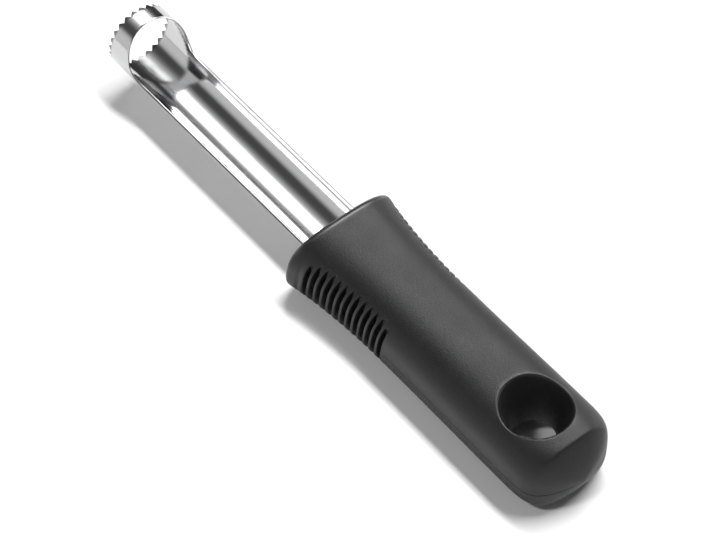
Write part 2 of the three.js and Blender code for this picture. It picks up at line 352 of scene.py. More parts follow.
class MouldGrain(Effect):
    """The fine spark-eroded grain that a mould leaves on rubber and plastic."""

    title = "mould_grain"
    outputs = ("Height", "Tone")
    pit_scale = 0.55
    pit_depth = 0.35
    drift_scale = 0.03

    def wire(self, desk: NodeDesk, entry: bpy.types.Node) -> dict[str, Socket]:
        """Returns the grain's height, and a slow drift of tone."""
        vector, scale = entry.outputs["Vector"], entry.outputs["Scale"]
        fine = desk.noise(vector, scale, detail=3.0, roughness=0.6)
        pits = desk.add("TexVoronoi", Vector=vector, Scale=desk.math("MULTIPLY", scale, self.pit_scale))
        height = desk.math("MULTIPLY_ADD", pits.outputs["Distance"], self.pit_depth, fine)
        tone = desk.noise(vector, desk.math("MULTIPLY", scale, self.drift_scale), detail=4.0, roughness=0.55)
        return {"Height": height, "Tone": tone}


class HandlingMarks(Effect):
    """Faint dull patches left by hands and by wiping."""

    title = "handling_marks"
    outputs = ("Mask",)
    dull_from, dull_to = 0.45, 0.72

    def wire(self, desk: NodeDesk, entry: bpy.types.Node) -> dict[str, Socket]:
        """Returns a mask that is 1 in the dull patches."""
        vector, scale = entry.outputs["Vector"], entry.outputs["Scale"]
        cloud = desk.noise(vector, scale, detail=5.0, roughness=0.62)
        return {"Mask": desk.span(cloud, self.dull_from, self.dull_to)}


class EdgeRub(Effect):
    """The paler, rubbed look of edges that stand proud."""

    title = "edge_rub"
    outputs = ("Mask",)
    proud_from, proud_to = 0.515, 0.6
    broken_from, broken_to, broken_least = 0.3, 0.6, 0.35

    def wire(self, desk: NodeDesk, entry: bpy.types.Node) -> dict[str, Socket]:
        """Returns a mask that is 1 along sharp outer edges, broken up by noise."""
        sharp = desk.add("NewGeometry").outputs["Pointiness"]
        edge = desk.span(sharp, self.proud_from, self.proud_to)
        cloud = desk.noise(entry.outputs["Vector"], entry.outputs["Scale"], detail=3.0)
        broken = desk.span(cloud, self.broken_from, self.broken_to, self.broken_least)
        return {"Mask": desk.math("MULTIPLY", edge, broken)}


class DrawnLines(Effect):
    """Fine lines along the tool's length, left by drawing and polishing."""

    title = "drawn_lines"
    outputs = ("Lines",)
    stretch = (0.012, 1.0, 1.0)

    def wire(self, desk: NodeDesk, entry: bpy.types.Node) -> dict[str, Socket]:
        """Returns lines stretched along x."""
        drawn = desk.add("Mapping", Vector=entry.outputs["Vector"], Scale=self.stretch).outputs["Vector"]
        return {"Lines": desk.noise(drawn, entry.outputs["Scale"], detail=6.0, roughness=0.7)}


class Finish:
    """A finish that dresses a piece through one node material."""

    title: str = ""

    def material(self) -> bpy.types.Material:
        """Returns the finish's material, and builds it the first time."""
        made = bpy.data.materials.get(self.title)
        if made:
            return made
        material = bpy.data.materials.new(self.title)
        material.use_nodes = True
        desk = NodeDesk(material.node_tree)
        surface = self.surface(desk)
        desk.add("OutputMaterial", Surface=surface)
        return material

    def surface(self, desk: NodeDesk) -> Socket:
        """Builds the finish's nodes and returns the shader socket."""
        raise NotImplementedError

    def dress(self, piece: Piece) -> None:
        """Gives a piece this finish all over."""
        piece.data.materials.clear()
        piece.data.materials.append(self.material())


@dataclass(frozen=True)
class PolishedSteel(Finish):
    """Bright stainless sheet, polished along its length."""

    title: str = "polished_steel"
    bright: Colour = (0.56, 0.56, 0.565, 1.0)
    dull: Colour = (0.47, 0.47, 0.475, 1.0)
    gloss: float = 0.07
    dull_gloss: float = 0.14
    line_scale: float = 2600.0
    line_height: float = 4e-6
    line_strength: float = 0.5
    line_tone: float = 0.5
    line_low: float = 0.3
    line_high: float = 0.7
    mark_scale: float = 60.0
    mark_gloss: float = 0.04
    ground: Colour = (0.2, 0.2, 0.205, 1.0)
    ground_from: float = 0.0995
    ground_to: float = 0.1003
    ground_gloss: float = 0.12

    def surface(self, desk: NodeDesk) -> Socket:
        """Returns a metal with drawn lines, faint handling marks and dull ground teeth."""
        where = desk.add("TexCoord").outputs["Object"]
        lines = desk.effect(DrawnLines(), where, self.line_scale).outputs["Lines"]
        marks = desk.effect(HandlingMarks(), where, self.mark_scale).outputs["Mask"]
        along = desk.add("SeparateXYZ", Vector=where).outputs["X"]
        ground = desk.span(along, self.ground_from, self.ground_to)
        colour = desk.blend(desk.math("MULTIPLY", lines, self.line_tone), self.bright, self.dull)
        colour = desk.blend(ground, colour, self.ground)
        gloss = desk.span(lines, self.line_low, self.line_high, self.gloss, self.dull_gloss)
        gloss = desk.math("MULTIPLY_ADD", marks, self.mark_gloss, gloss)
        gloss = desk.math("MULTIPLY_ADD", ground, self.ground_gloss, gloss)
        relief = desk.add("Bump", Strength=self.line_strength, Distance=self.line_height, Height=lines)
        metal = desk.add(
            "BsdfPrincipled", Metallic=1.0, Base_Color=colour, Roughness=gloss,
            Normal=relief.outputs["Normal"],
        )
        return metal.outputs["BSDF"]


@dataclass(frozen=True)
class SoftTouchRubber(Finish):
    """Matte black moulded rubber with a fine grain, worn to a shine where the piece is marked."""

    title: str = "soft_touch_rubber"
    dark: Colour = (0.012, 0.012, 0.0125, 1.0)
    pale: Colour = (0.018, 0.018, 0.0185, 1.0)
    rubbed: Colour = (0.034, 0.034, 0.035, 1.0)
    gloss: float = 0.4
    dull_gloss: float = 0.48
    specular: float = 0.24
    edge_shine: float = 0.8
    edge_gloss: float = 0.25
    rub_scale: float = 900.0
    rub_share: float = 0.4
    grain_scale: float = 3200.0
    grain_strength: float = 0.8
    grain_height: float = 6.0e-5
    mark_scale: float = 42.0
    worn_mark: str = "worn_edge"

    def surface(self, desk: NodeDesk) -> Socket:
        """Returns a rubber with grain, paler rubbed edges and dull patches."""
        where = desk.add("TexCoord").outputs["Object"]
        grain = desk.effect(MouldGrain(), where, self.grain_scale)
        marks = desk.effect(HandlingMarks(), where, self.mark_scale).outputs["Mask"]
        rub = desk.effect(EdgeRub(), where, self.rub_scale).outputs["Mask"]
        body = desk.blend(grain.outputs["Tone"], self.dark, self.pale)
        colour = desk.blend(desk.math("MULTIPLY", rub, self.rub_share), body, self.rubbed)
        gloss = desk.span(marks, 0.0, 1.0, self.gloss, self.dull_gloss)
        worn = desk.add("Attribute")
        worn.attribute_name = self.worn_mark
        shine = desk.math("MULTIPLY", worn.outputs["Fac"], self.edge_shine)
        relief = desk.add(
            "Bump", Strength=self.grain_strength, Distance=self.grain_height, Height=grain.outputs["Height"]
        )
        rubber = desk.add(
            "BsdfPrincipled", Base_Color=colour, Roughness=gloss, Normal=relief.outputs["Normal"],
            Specular_IOR_Level=self.specular, Coat_Weight=shine, Coat_Roughness=self.edge_gloss,
        )
        return rubber.outputs["BSDF"]


@dataclass(frozen=True)
class MouldedPlastic(Finish):
    """Plain black moulded plastic, for the core inside the grip."""

    title: str = "moulded_plastic"
    dark: Colour = (0.026, 0.026, 0.028, 1.0)
    pale: Colour = (0.036, 0.036, 0.038, 1.0)
    gloss: float = 0.38
    dull_gloss: float = 0.48
    tone_low: float = 0.3
    tone_high: float = 0.7
    rub_scale: float = 700.0
    grain_scale: float = 1800.0
    grain_strength: float = 0.4
    grain_height: float = 1.2e-5

    def surface(self, desk: NodeDesk) -> Socket:
        """Returns a plastic with mould grain and faintly rubbed edges."""
        where = desk.add("TexCoord").outputs["Object"]
        grain = desk.effect(MouldGrain(), where, self.grain_scale)
        rub = desk.effect(EdgeRub(), where, self.rub_scale).outputs["Mask"]
        tone = grain.outputs["Tone"]
        colour = desk.blend(desk.math("MAXIMUM", tone, rub), self.dark, self.pale)
        gloss = desk.span(tone, self.tone_low, self.tone_high, self.gloss, self.dull_gloss)
        relief = desk.add(
            "Bump", Strength=self.grain_strength, Distance=self.grain_height, Height=grain.outputs["Height"]
        )
        plastic = desk.add(
            "BsdfPrincipled", Base_Color=colour, Roughness=gloss, Normal=relief.outputs["Normal"]
        )
        return plastic.outputs["BSDF"]


@dataclass(frozen=True)
class WhiteTable(Finish):
    """A white table top that reads as white and keeps the tool's shadow, with painted shade where the tool
    covers it.
    """

    title: str = "white_table"
    white: Colour = (0.85, 0.85, 0.85, 1.0)
    own_light: float = 0.07
    painted_shade_reach: float = 0.045

    def surface(self, desk: NodeDesk) -> Socket:
        """Returns a matte white, lifted to white by a glow where it is seen or mirrored; ambient occlusion
        dims the glow under and round the tool, which is painted shade.
        """
        ray = desk.add("LightPath")
        seen = desk.math("MAXIMUM", ray.outputs["Is Camera Ray"], ray.outputs["Is Glossy Ray"])
        seen = desk.math("MAXIMUM", seen, ray.outputs["Is Transmission Ray"])
        matte = desk.add("BsdfDiffuse", Color=self.white)
        # Painted shade: ambient occlusion darkens the table's glow under, round and through the tool.
        painted_shade_share = desk.add("AmbientOcclusion", Distance=self.painted_shade_reach).outputs["AO"]
        shaded_glow = desk.math("MULTIPLY", painted_shade_share, self.own_light)
        lift = desk.add("Emission", Strength=desk.math("MULTIPLY", seen, shaded_glow))
        return desk.fill(desk.add("AddShader"), matte.outputs["BSDF"], lift.outputs["Emission"])


@dataclass
class CorerBlade:
    """The steel blade: a toothed ring, the open trough behind it and the tang in the handle."""

    frame: HandleFrame
    name: str = "corer_blade"
    shaft_length: float = 94.2
    radius: float = 10.75
    sheet: float = 0.8
    axis_rise: float = 5.8
    tooth_count: int = 25
    tooth_depth: float = 1.4
    tooth_bevel: float = 0.1
    hollow_grind: float = 0.64
    hollow_length: float = 17.5
    seam_depth: float = 0.05
    columns_per_tooth: int = 12
    ring_side_length: float = 10.6
    ring_slant: float = 0.4
    rim_drop: float = 3.9
    rim_fillet: float = 5.5
    rim_round: float = 0.17
    rim_steps: Stops = ((0.45, 0.75), (0.75, 0.25))
    rim_facing: float = 0.5
    rim_columns: int = 57
    rim_border: float = 2.7
    fillet_columns: int = 24
    tang_length: float = 58.4
    tang_shoulder: float = 10.0
    tang_columns: int = 37
    tang_hole_places: tuple[float, ...] = (-46.4, -26.4)
    tang_hole_radius: float = 2.6
    tang_hole_sides: int = 48
    smooth_angle: float = 35.0
    trough_rows: tuple[float, ...] = (-46, -34, -22, -10, -5, 0, 8, 18, 30, 42, 54, 64, 71)
    ring_rows: tuple[float, ...] = (0.08, 0.2, 0.34, 0.48, 0.62, 0.76, 0.9, 1.0)
    tooth_rows: tuple[float, ...] = (0.34, 0.67, 1.0)
    finish: Finish = field(default_factory=PolishedSteel)

    def __post_init__(self) -> None:
        """Works out the places that the rows and columns meet."""
        self.half_columns = self.tooth_count * self.columns_per_tooth // 2
        self.rim_angle = math.degrees(math.acos(self.rim_drop / self.radius))
        rear = self.shaft_length - self.ring_side_length
        self.corner_x = rear - self.ring_slant * self.rim_drop
        rise = 1.0 / math.hypot(self.ring_slant, 1.0)
        self.fillet_start_x = self.corner_x - self.rim_fillet
        self.fillet_end_x = self.corner_x + self.rim_fillet * self.ring_slant * rise
        self.fillet_rise = self.rim_fillet * rise
        self.fillet_angle = math.degrees(math.acos((self.rim_drop - self.fillet_rise) / self.radius))
        self.valley_x = self.shaft_length - self.tooth_depth
        self.lengths = (-self.tang_length, *self.trough_rows, self.fillet_start_x)
        self.row_count = len(self.lengths) + len(self.ring_rows) + len(self.tooth_rows)
        self.column_count = 2 * self.half_columns + 1

    def start_angle(self, column: int) -> float:
        """Returns the angle from the bottom at which a column leaves the trough or the opening's edge."""
        step, turn = abs(column), math.copysign(1.0, column)
        if step < self.rim_columns:
            return turn * step * (self.rim_angle - self.rim_border) / (self.rim_columns - 1)
        fillet_end = self.rim_columns + self.fillet_columns
        if step <= fillet_end:
            share = (step - self.rim_columns) / self.fillet_columns
            return turn * lerp(self.rim_angle, self.fillet_angle, share)
        return turn * lerp(self.fillet_angle, 180.0, (step - fillet_end) / (self.half_columns - fillet_end))

    def start_x(self, column: int) -> float:
        """Returns how far along the tool a column of the ring starts."""
        step = abs(column)
        if step <= self.rim_columns:
            return self.fillet_start_x
        height = -self.radius * math.cos(math.radians(self.start_angle(column)))
        if step <= self.rim_columns + self.fillet_columns:
            share = math.sqrt(max(0.0, (height + self.rim_drop) / self.fillet_rise))
            nearer = lerp(self.fillet_start_x, self.corner_x, share)
            return lerp(nearer, lerp(self.corner_x, self.fillet_end_x, share), share)
        return self.shaft_length - self.ring_side_length + self.ring_slant * height

    def tip_x(self, column: int) -> float:
        """Returns where the toothed edge lies on a column."""
        share = ((column + self.half_columns) % self.columns_per_tooth) / self.columns_per_tooth
        return self.shaft_length - self.tooth_depth * abs(2 * share - 1)

    def place(self, row: int, line: int) -> Point:
        """Returns the place of a row and column line on the rolled sheet."""
        column = self.half_columns - line
        front_angle = 180.0 * column / self.half_columns
        ring_row = row - len(self.lengths)
        if ring_row < 0:
            x = self.lengths[row] if abs(column) <= self.rim_columns else self.start_x(column)
            angle = self.start_angle(column)
        elif ring_row < len(self.ring_rows):
            share = self.ring_rows[ring_row]
            x = lerp(self.start_x(column), self.valley_x, share)
            angle = lerp(self.start_angle(column), front_angle, share)
        else:
            share = self.tooth_rows[ring_row - len(self.ring_rows)]
            x = lerp(self.valley_x, self.tip_x(column), share)
            angle = front_angle
        turn = math.radians(angle)
        radius = self.radius - (self.seam_depth if abs(column) == self.half_columns else 0.0)
        return self.frame.place(x, radius * math.sin(turn), self.axis_rise - radius * math.cos(turn))

    def cut_blank(self, blank: Piece) -> None:
        """Cuts the flat blank: nothing above the trough's rims, and a narrower tang."""
        shoulder_row = self.lengths.index(-self.tang_shoulder)

        def is_waste(face: bmesh.types.BMFace) -> bool:
            """Says whether a face of the blank is cut away."""
            middle = face.calc_center_median()
            row = (middle.x + 0.5) * (self.row_count - 1)
            column = abs(middle.y) * (self.column_count - 1)
            if row < shoulder_row:
                return column > self.tang_columns
            return row < len(self.lengths) - 1 and column > self.rim_columns

        Bench.pick_faces(blank, is_waste)
        bpy.ops.mesh.delete(type="FACE")
        Bench.clear()

    def round_rims(self, blade: Piece) -> None:
        """Rounds the cut edges of the sheet, apart from the teeth."""

        def is_rim(face: bmesh.types.BMFace) -> bool:
            """Says whether a face is a cut edge of the sheet."""
            x, y, z = self.frame.local(face.calc_center_median())
            outward = Vector((0.0, y, z - self.axis_rise)).normalized()
            return abs(face.normal.dot(outward)) < self.rim_facing and x < self.valley_x - self.tooth_bevel

        Bench.pick_faces(blade, is_rim)
        for width, rise in self.rim_steps:
            bpy.ops.mesh.inset(
                thickness=width * self.rim_round * MM, depth=rise * self.rim_round * MM,
                use_boundary=True, use_even_offset=True,
            )
        Bench.clear()

    def ground_off(self, x: float, is_outside: bool) -> float:
        """Returns how far grinding moves the ring's wall outwards, at a distance along the tool."""
        if is_outside:
            return -self.tooth_bevel * max(0.0, x - self.valley_x) / self.tooth_depth
        share = max(0.0, 1 - (self.shaft_length - x) / self.hollow_length)
        return self.hollow_grind * share

    def grind_teeth(self, blade: Piece) -> None:
        """Grinds the ring hollow inside and bevels its teeth outside, so that the tips are thin."""
        for vertex in blade.data.vertices:
            x, y, z = self.frame.local(vertex.co)
            reach = math.hypot(y, z - self.axis_rise)
            share = 1 + self.ground_off(x, reach > self.radius - self.sheet / 2) / reach
            vertex.co = self.frame.place(x, y * share, self.axis_rise + (z - self.axis_rise) * share)

    def drill_tang(self, blade: Piece) -> None:
        """Drills the tang's holes for the pegs of the core."""
        for x in self.tang_hole_places:
            Bench.clear()
            bpy.ops.mesh.primitive_cylinder_add(
                vertices=self.tang_hole_sides, radius=self.tang_hole_radius * MM, depth=self.radius * MM,
                location=self.frame.place(x, 0.0, self.axis_rise - self.radius),
            )
            Bench.cut(blade, bpy.context.object)

    def build(self) -> Piece:
        """Rolls the blade from a flat blank and returns it."""
        blade = Bench.add_sheet(self.name, self.row_count, self.column_count)
        self.cut_blank(blade)
        Bench.roll(blade, self.row_count, self.column_count, self.place, closed=False)
        Bench.modify(blade, "SOLIDIFY", thickness=self.sheet * MM, offset=-1.0, use_even_offset=True)
        self.round_rims(blade)
        self.grind_teeth(blade)
        self.drill_tang(blade)
        Bench.smooth(blade, self.smooth_angle)
        return blade

    def dress(self, blade: Piece) -> None:
        """Gives the blade its finish and its place in the frame."""
        self.finish.dress(blade)
        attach(blade, "root")
        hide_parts(Node.TUBE.value)


@dataclass(frozen=True)
class Station:
    """One ring of the grip's skin."""

    behind: float
    inset: float = 0.0
    share: float = 1.0


@dataclass
class MouldedGrip:
    """The soft grip: a flared handle with finned sides, a hang hole and a parting line."""

    frame: HandleFrame
    blade: CorerBlade
    name: str = "moulded_grip"
    length: float = 108.2
    flare_half_width: float = 19.1
    waist_half_width: float = 15.2
    butt_half_width: float = 15.5
    flare_length: float = 47.0
    flare_power: float = 2.5
    flare_top: float = 13.5
    half_thickness: float = 12.6
    section_power: float = 3.0
    front_lean: float = 0.17
    lean_fade: float = 24.0
    front_round: float = 1.8
    front_shares: tuple[float, ...] = (0.0, 0.25, 0.5, 0.72, 0.88)
    front_steps: int = 6
    butt_round_length: float = 16.8
    butt_side_power: float = 4.0
    butt_side_close: float = 0.72
    butt_crease: float = 5.35
    butt_end_close: float = 0.68
    butt_lift: float = 0.1
    butt_lift_power: float = 1.5
    crease_blend: float = 0.06
    crease_rows: tuple[float, ...] = (-1.6, -1.2, -0.8, -0.5, -0.25, 0.0, 0.25, 0.5, 0.8)
    body_steps: int = 50
    end_steps: int = 22
    belly: float = 12.3
    slot_count: int = 13
    slot_pitch: float = 2.54
    slot_from_front: float = 7.55
    slot_depth: float = 3.0
    slot_end_inset: float = 2.2
    outer_slot_inset: float = 3.7
    slot_taper_power: float = 9.0
    lead_groove_share: float = 0.1
    slot_wall: Stops = (
        (0.0, 1.0), (0.3, 1.0), (0.6, 0.985), (0.72, 0.93), (0.755, 0.8), (0.775, 0.2),
        (0.81, 0.05), (0.88, 0.012), (1.02, 0.0),
    )
    hole_from_butt: float = 21.0
    hole_rim_radius: float = 10.8
    hole_foot_radius: float = 13.0
    hole_waist_radius: float = 6.4
    hole_waist_height: float = -3.6
    hole_flare_power: float = 1.5
    hole_foot_power: float = 0.85
    hole_lip: float = 0.6
    hole_lip_rise: float = 0.03
    hole_wall_steps: int = 14
    hole_lip_steps: int = 6
    hole_settle_steps: int = 24
    hole_clear: float = 4.0
    hole_draft: float = 0.05
    hole_columns: int = 144
    parting_height: float = -1.4
    parting_depth: float = 0.16
    parting_width: float = 0.36
    same_height: float = 1e-3
    parting_near: float = 0.7
    parting_far: float = 1.2
    parting_clear: float = 2.0
    wall: float = 4.2
    front_wall: float = 3.0
    hollow_end: float = 71.7
    hollow_steps: int = 12
    hollow_columns: int = 73
    mouth_ends: tuple[float, float] = (-5.0, 4.0)
    fit_gap: float = 0.3
    quarter_columns: int = 38
    smooth_angle: float = 40.0
    worn_from: tuple[float, float] = (0.1, 0.5)
    worn_width: float = 0.8
    worn_low: float = 7.0
    worn_high: float = 11.5
    lip_share: float = 0.35
    finish: SoftTouchRubber = field(default_factory=SoftTouchRubber)

    def __post_init__(self) -> None:
        """Works out the rings and columns of the skin."""
        self.stations = self.skin_stations()
        self.turns = self.skin_turns()

    def section(self, behind: float) -> tuple[float, float, float]:
        """Returns the half width, top and bottom of the section at a distance behind the front."""
        round_start = self.length - self.butt_round_length
        flare = max(0.0, 1 - behind / self.flare_length) ** self.flare_power
        tail = smooth_step(behind, self.flare_length, round_start)
        round_in = max(0.0, (behind - round_start) / self.butt_round_length)
        end_in = soft_floor((behind - self.length) / self.butt_crease + 1, self.crease_blend)
        end_in = end_in / soft_floor(1.0, self.crease_blend)
        side_close = max(0.0, 1 - round_in ** self.butt_side_power) ** self.butt_side_close
        end_close = max(0.0, 1 - end_in) ** self.butt_end_close
        straight = (
            self.waist_half_width + flare * (self.flare_half_width - self.waist_half_width)
            + tail * (self.butt_half_width - self.waist_half_width)
        )
        top = self.half_thickness + flare * (self.flare_top - self.half_thickness)
        bottom = self.half_thickness * (1 - self.butt_lift * round_in ** self.butt_lift_power)
        return straight * side_close, top * end_close, bottom * end_close

    def slots_end(self) -> float:
        """Returns how far behind the front the last slot ends."""
        return self.slot_from_front + (self.slot_count - 0.5) * self.slot_pitch

    def lean(self, behind: float) -> float:
        """Returns how far the section leans back for each millimetre of height."""
        fade_end = self.flare_length + self.lean_fade
        return self.front_lean * (1 - smooth_step(behind, self.flare_length, fade_end))

    def skin_stations(self) -> list[Station]:
        """Returns the rings of the skin, from the middle of the front face to the butt."""
        stations = [Station(0.0, self.front_round, share) for share in self.front_shares]
        for step in range(self.front_steps + 1):
            turn = math.radians(90 * step / self.front_steps)
            stations.append(
                Station(self.front_round * (1 - math.cos(turn)), self.front_round * (1 - math.sin(turn)))
            )
        groove_start = self.slot_from_front - 1.5 * self.slot_pitch
        stations += [Station(lerp(self.front_round, groove_start, share / 3)) for share in (1, 2)]
        behind = [offset for offset, _ in self.slot_wall]
        offsets = [-offset for offset in reversed(behind[1:])] + behind
        for index in range(-1, self.slot_count):
            middle = self.slot_from_front + index * self.slot_pitch
            stations.append(Station(middle - self.slot_pitch / 2))
            stations += [Station(middle + offset) for offset in offsets]
        crease_start = self.length - self.butt_crease
        body_end, *rows, end_start = (crease_start + offset for offset in self.crease_rows)
        for step in range(self.body_steps + 1):
            stations.append(Station(lerp(self.slots_end(), body_end, step / self.body_steps)))
        stations += [Station(row) for row in rows]
        for step in range(self.end_steps + 1):
            share = (1 - step / self.end_steps) ** 2
            stations.append(Station(self.length - (self.length - end_start) * share))
        return stations

    def skin_turns(self) -> list[float]:
        """Returns the turns round the section, from the bottom and back to it, closer at the parting line."""
        power = self.section_power / 2

        def turn_at(height: float) -> float:
            """Returns the turn at a height above the middle plane."""
            return math.copysign(math.asin((abs(height) / self.half_thickness) ** power), height)

        def quarter(height: float) -> list[float]:
            """Returns evenly spaced turns from a height up to the top."""
            steps, first = self.quarter_columns, turn_at(height)
            return self.even_turns([lerp(first, math.pi / 2, step / steps) for step in range(steps + 1)])

        rises = (self.parting_width, self.parting_near, self.parting_far)
        offsets = [-rise for rise in reversed(rises)] + [0.0, *rises]
        seam = [turn_at(self.parting_height + offset) for offset in offsets]
        lower = [-turn for turn in reversed(quarter(self.parting_clear - self.parting_height))]
        upper = [turn_at(self.parting_far / 2), turn_at(self.parting_far), *quarter(self.parting_clear)]
        half = [*lower, *seam, 0.0, *upper]
        other = [math.pi - turn for turn in reversed(half)]
        return half + other[1:]

    def even_turns(self, turns: list[float]) -> list[float]:
        """Respaces turns so that they lie evenly along the section's outline."""
        steps = 600
        fine = [lerp(turns[0], turns[-1], step / steps) for step in range(steps + 1)]
        points = [self.outline(turn, self.waist_half_width, self.half_thickness) for turn in fine]
        run = [0.0]
        for (y, z), (next_y, next_z) in zip(points, points[1:]):
            run.append(run[-1] + math.hypot(next_y - y, next_z - z))
        spaced, mark = [], 0
        for step in range(len(turns)):
            goal = run[-1] * step / (len(turns) - 1)
            while mark < steps - 1 and run[mark + 1] < goal:
                mark += 1
            share = (goal - run[mark]) / (run[mark + 1] - run[mark])
            spaced.append(lerp(fine[mark], fine[mark + 1], share))
        return spaced

    def outline(self, turn: float, half_width: float, half_height: float) -> tuple[float, float]:
        """Returns the point of a rounded section at a turn."""
        cosine, sine = math.cos(turn), math.sin(turn)
        power = 2 / self.section_power
        return (
            math.copysign(abs(cosine) ** power * half_width, cosine),
            math.copysign(abs(sine) ** power * half_height, sine),
        )

    def reach(self, extent: float, share: float) -> float:
        """Returns how far the section reaches one way, at a share of its extent the other way."""
        return extent * max(0.0, 1 - share ** self.section_power) ** (1 / self.section_power)

    def slot_cut(self, behind: float, height: float) -> float:
        """Returns how deep the side is cut at a distance behind the front and a height."""
        index = round((behind - self.slot_from_front) / self.slot_pitch)
        if not -1 <= index < self.slot_count:
            return 0.0
        middle = self.slot_from_front + index * self.slot_pitch
        half_width, _, bottom = self.section(middle)
        from_outer = max(0, min(index, self.slot_count - 1 - index))
        arch_drop = (self.outer_slot_inset - self.slot_end_inset) / (from_outer + 1) ** 2
        end = bottom - self.slot_end_inset - arch_drop
        if abs(height) >= end:
            return 0.0
        chord = self.reach(half_width, end / bottom)
        share = (1 - height / end) / 2
        pull = 2 * (half_width - self.slot_depth) - chord
        floor = chord * (1 - 2 * share * (1 - share)) + pull * 2 * share * (1 - share)
        side = self.reach(half_width, abs(height) / bottom)
        depth = max(0.0, side - floor)
        if index < 0:
            wave = math.cos(math.pi * (behind - middle) / self.slot_pitch)
            return depth * self.lead_groove_share * wave ** 2
        narrowing = math.sqrt(1 - (abs(height) / end) ** self.slot_taper_power)
        return depth * self.wall_share(abs(behind - middle) / narrowing)

    def wall_share(self, offset: float) -> float:
        """Returns the share of a slot's depth that is reached at an offset from its middle."""
        for (near, deep), (far, shallow) in zip(self.slot_wall, self.slot_wall[1:]):
            if offset <= far:
                return lerp(deep, shallow, (offset - near) / (far - near))
        return 0.0

    def place(self, row: int, line: int) -> Point:
        """Returns the place of a ring and column line on the skin."""
        station = self.stations[row]
        half_width, top, bottom = self.section(station.behind)
        turn = self.turns[line]
        height = max(0.0, (top if turn_is_upper(turn) else bottom) - station.inset)
        y, z = self.outline(turn, max(0.0, half_width - station.inset), height)
        y, z = y * station.share, z * station.share
        if station.inset == 0.0:
            y -= math.copysign(self.slot_cut(station.behind, z), y)
        z_cut = max(z, -self.belly)
        return self.frame.place(-station.behind - self.lean(station.behind) * z, y, z_cut)

    def surface_height(self, x: float, y: float, side: Side) -> float:
        """Returns the height of the top or belly at a place near the hang hole."""
        half_width, top, bottom = self.section(-x)
        rise = self.reach(top if side is Side.TOP else bottom, abs(y) / half_width)
        return rise if side is Side.TOP else max(-rise, -self.belly)

    def hole_radius(self, height: float) -> float:
        """Returns the hang hole's radius at a height above or below the middle plane."""
        rise = height - self.hole_waist_height
        reach = math.copysign(self.half_thickness, rise) - self.hole_waist_height
        open_radius = self.hole_rim_radius if rise > 0 else self.hole_foot_radius
        power = self.hole_flare_power if rise > 0 else self.hole_foot_power
        return lerp(self.hole_waist_radius, open_radius, (rise / reach) ** power)

    def hole_profile(self, turn: float, side: Side) -> list[tuple[float, float]]:
        """Returns the hole's radius and height from its waist out over a rounded lip, on one bearing.

        Args:
            turn: The bearing round the hole's axis.
            side: The face that the profile opens in.

        Returns:
            Pairs of radius and height, the last ones outside the handle.
        """
        middle = self.hole_from_butt - self.length

        def skin(radius: float) -> float:
            """Returns the height of the handle's face at a distance from the hole's axis."""
            return self.surface_height(middle + radius * math.cos(turn), radius * math.sin(turn), side)

        rim = self.hole_rim_radius
        for _ in range(self.hole_settle_steps):
            rim = self.hole_radius(skin(rim))
        rim_height = skin(rim)
        foot_height = rim_height - side.value * self.hole_lip
        foot = self.hole_radius(foot_height)
        crown = rim + self.hole_lip
        crown_height = skin(crown) + side.value * self.hole_lip_rise
        profile = []
        for step in range(self.hole_wall_steps + 1):
            height = lerp(self.hole_waist_height, foot_height, step / self.hole_wall_steps)
            profile.append((self.hole_radius(height), height))
        for step in range(1, self.hole_lip_steps + 1):
            share = step / self.hole_lip_steps
            radius = lerp(lerp(foot, rim, share), lerp(rim, crown, share), share)
            height = lerp(lerp(foot_height, rim_height, share), lerp(rim_height, crown_height, share), share)
            profile.append((radius, height))
        beyond = side.value * (self.half_thickness + self.hole_clear)
        return profile + [(crown + self.hole_draft, beyond), (0.0, beyond)]

    def cut_hang_hole(self, grip: Piece) -> None:
        """Cuts the hourglass hang hole, with a rounded lip at both faces."""
        profiles = []
        for line in range(self.hole_columns + 1):
            turn = 2 * math.pi * (line % self.hole_columns) / self.hole_columns
            upper = self.hole_profile(turn, Side.TOP)
            lower = self.hole_profile(turn, Side.BOTTOM)
            profiles.append((turn, [*reversed(lower), *upper[1:]]))
        rows = len(profiles[0][1])
        middle = self.hole_from_butt - self.length

        def place(row: int, line: int) -> Point:
            """Returns the place of a row and bearing on the cutter."""
            turn, profile = profiles[line]
            radius, height = profile[row]
            return self.frame.place(middle + radius * math.cos(turn), radius * math.sin(turn), height)

        cutter = Bench.add_sheet("hole_cutter", rows, self.hole_columns + 1)
        Bench.roll(cutter, rows, self.hole_columns + 1, place, closed=True)
        Bench.cut(grip, cutter)

    def hollow_out(self, grip: Piece) -> None:
        """Cuts the hollow that the core fills, and the mouth that the trough enters by."""
        steps, columns = self.hollow_steps, self.hollow_columns
        walls = [lerp(self.front_wall, self.hollow_end, step / steps) for step in range(steps + 1)]
        stops = [self.front_wall, *walls, self.hollow_end]

        def hollow_place(row: int, line: int) -> Point:
            """Returns the place of a row and column on the hollow, whose outer rows close its ends."""
            behind = stops[row]
            half_width, top, bottom = self.section(behind)
            turn = 2 * math.pi * (line % (columns - 1)) / (columns - 1)
            height = (top if turn_is_upper(turn) else bottom) - self.wall
            y, z = self.outline(turn, half_width - self.wall, height)
            is_end = row in (0, len(stops) - 1)
            y, z = (0.0, 0.0) if is_end else (y, z)
            return self.frame.place(-behind - self.lean(behind) * z, y, z)

        cutter = Bench.add_sheet("hollow_cutter", len(stops), columns)
        Bench.roll(cutter, len(stops), columns, hollow_place, closed=True)
        Bench.cut(grip, cutter)

        radius = self.blade.radius + self.fit_gap
        half_angle = math.radians(self.blade.rim_angle) + 2 * self.fit_gap / self.blade.radius

        def mouth_place(row: int, line: int) -> Point:
            """Returns the place of an end and column on the mouth."""
            turn = half_angle * (1 - 2 * line / (columns - 1))
            height = self.blade.axis_rise - radius * math.cos(turn)
            return self.frame.place(self.mouth_ends[row], radius * math.sin(turn), height)

